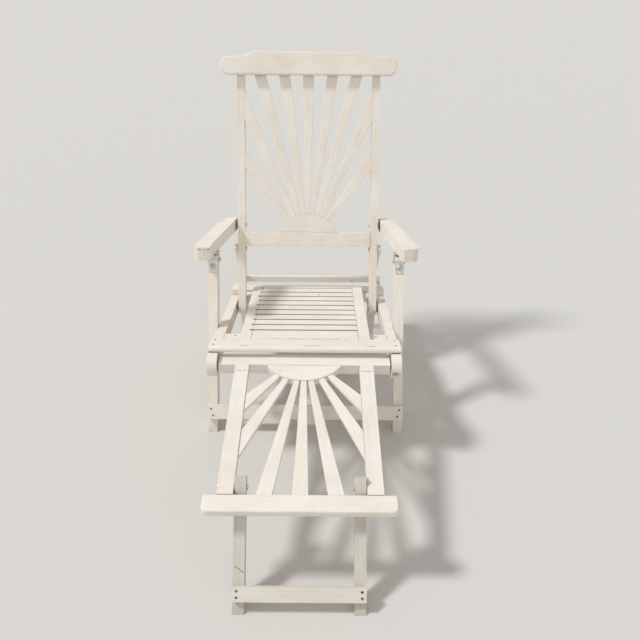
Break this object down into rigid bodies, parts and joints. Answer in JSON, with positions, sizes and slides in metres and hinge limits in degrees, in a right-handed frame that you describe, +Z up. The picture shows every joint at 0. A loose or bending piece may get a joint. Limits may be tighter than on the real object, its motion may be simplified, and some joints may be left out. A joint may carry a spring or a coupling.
{
  "type": "folding steamer deck chair",
  "caption": "Folding wooden steamer deck chair with sunburst slatted back, slatted seat, flat armrests and a hinged sunburst footrest on folding legs, painted cream.",
  "frame": {"origin": "middle of the open chair's footprint, on the ground", "axes": "+X across the chair, to the right of the picture, +Y from the footrest towards the back, +Z up"},
  "size_m": [0.645, 1.3536, 1.0035],
  "materials": {
    "cream_paint": "brush-painted cream, matt, weathered",
    "bare_steel": "dull weathered steel"
  },
  "bodies": {
    "seat_frame": {"left_side_rail": "cream_paint", "right_side_rail": "cream_paint", "front_seat_rail": "cream_paint", "rear_batten": "cream_paint", "seat_left_stile": "cream_paint", "seat_right_stile": "cream_paint", "seat_front_rail": "cream_paint", "seat_back_rail": "cream_paint", "seat_slats": "cream_paint", "front_bearer": "cream_paint", "rear_bearer": "cream_paint", "frame_fasteners": "bare_steel"},
    "back": {"left_back_upright": "cream_paint", "right_back_upright": "cream_paint", "crest_rail": "cream_paint", "back_lower_rail": "cream_paint", "back_sun_hub": "cream_paint", "back_slat_1": "cream_paint", "back_slat_2": "cream_paint", "back_slat_3": "cream_paint", "back_slat_4": "cream_paint", "back_slat_5": "cream_paint", "back_slat_6": "cream_paint", "back_slat_7": "cream_paint", "back_slat_8": "cream_paint", "back_slat_9": "cream_paint", "upright_bolts": "bare_steel"},
    "front_legs": {"left_front_leg": "cream_paint", "right_front_leg": "cream_paint", "front_stretcher": "cream_paint", "leg_straps": "bare_steel", "front_leg_screws": "bare_steel"},
    "armrests": {"left_armrest": "cream_paint", "right_armrest": "cream_paint", "arm_brackets": "bare_steel", "arm_bolts": "bare_steel"},
    "rear_legs": {"left_rear_leg": "cream_paint", "right_rear_leg": "cream_paint", "rear_stretcher": "cream_paint", "rear_stretcher_screws": "bare_steel"},
    "back_prop": {"left_prop_arm": "cream_paint", "right_prop_arm": "cream_paint", "prop_bar": "cream_paint"},
    "footrest": {"footrest_beam": "cream_paint", "footrest_left_stile": "cream_paint", "footrest_right_stile": "cream_paint", "foot_rail": "cream_paint", "footrest_sun_hub": "cream_paint", "footrest_slat_1": "cream_paint", "footrest_slat_2": "cream_paint", "footrest_slat_3": "cream_paint", "footrest_slat_4": "cream_paint", "footrest_slat_5": "cream_paint", "footrest_slat_6": "cream_paint", "footrest_slat_7": "cream_paint", "footrest_leg_bolts": "bare_steel"},
    "footrest_legs": {"left_footrest_leg": "cream_paint", "right_footrest_leg": "cream_paint", "footrest_stretcher": "cream_paint", "footrest_stretcher_screws": "bare_steel"}
  },
  "joints": [
    {"name": "back_fold", "type": "hinge", "parent": "seat_frame", "child": "back", "pos_m": [0, 0.37975, 0.21957], "axis": [1, 0, 0], "range_deg": [0, 70]},
    {"name": "front_legs_fold", "type": "hinge", "parent": "seat_frame", "child": "front_legs", "pos_m": [0, 0.12903, 0.26068], "axis": [1, 0, 0], "range_deg": [0, 89]},
    {"name": "armrests_fold", "type": "hinge", "parent": "front_legs", "child": "armrests", "pos_m": [0, 0.22038, 0.46301], "axis": [1, 0, 0], "range_deg": [-86, 0]},
    {"name": "prop_fold", "type": "hinge", "parent": "back", "child": "back_prop", "pos_m": [0, 0.44856, 0.40737], "axis": [1, 0, 0], "range_deg": [-40, 0]},
    {"name": "rear_legs_fold", "type": "hinge", "parent": "seat_frame", "child": "rear_legs", "pos_m": [0, 0.4582, 0.20673], "axis": [1, 0, 0], "range_deg": [-50, 0]},
    {"name": "footrest_fold", "type": "hinge", "parent": "seat_frame", "child": "footrest", "pos_m": [0, -0.09331, 0.2864], "axis": [1, 0, 0], "range_deg": [0, 62]},
    {"name": "footrest_legs_fold", "type": "hinge", "parent": "footrest", "child": "footrest_legs", "pos_m": [0, -0.51533, 0.22115], "axis": [1, 0, 0], "range_deg": [0, 102]}
  ],
  "couplings": [
    {"joint": "front_legs_fold", "follows": "back_fold", "ratio": 1.27},
    {"joint": "armrests_fold", "follows": "back_fold", "ratio": -1.22},
    {"joint": "prop_fold", "follows": "back_fold", "ratio": -0.56}
  ]
}
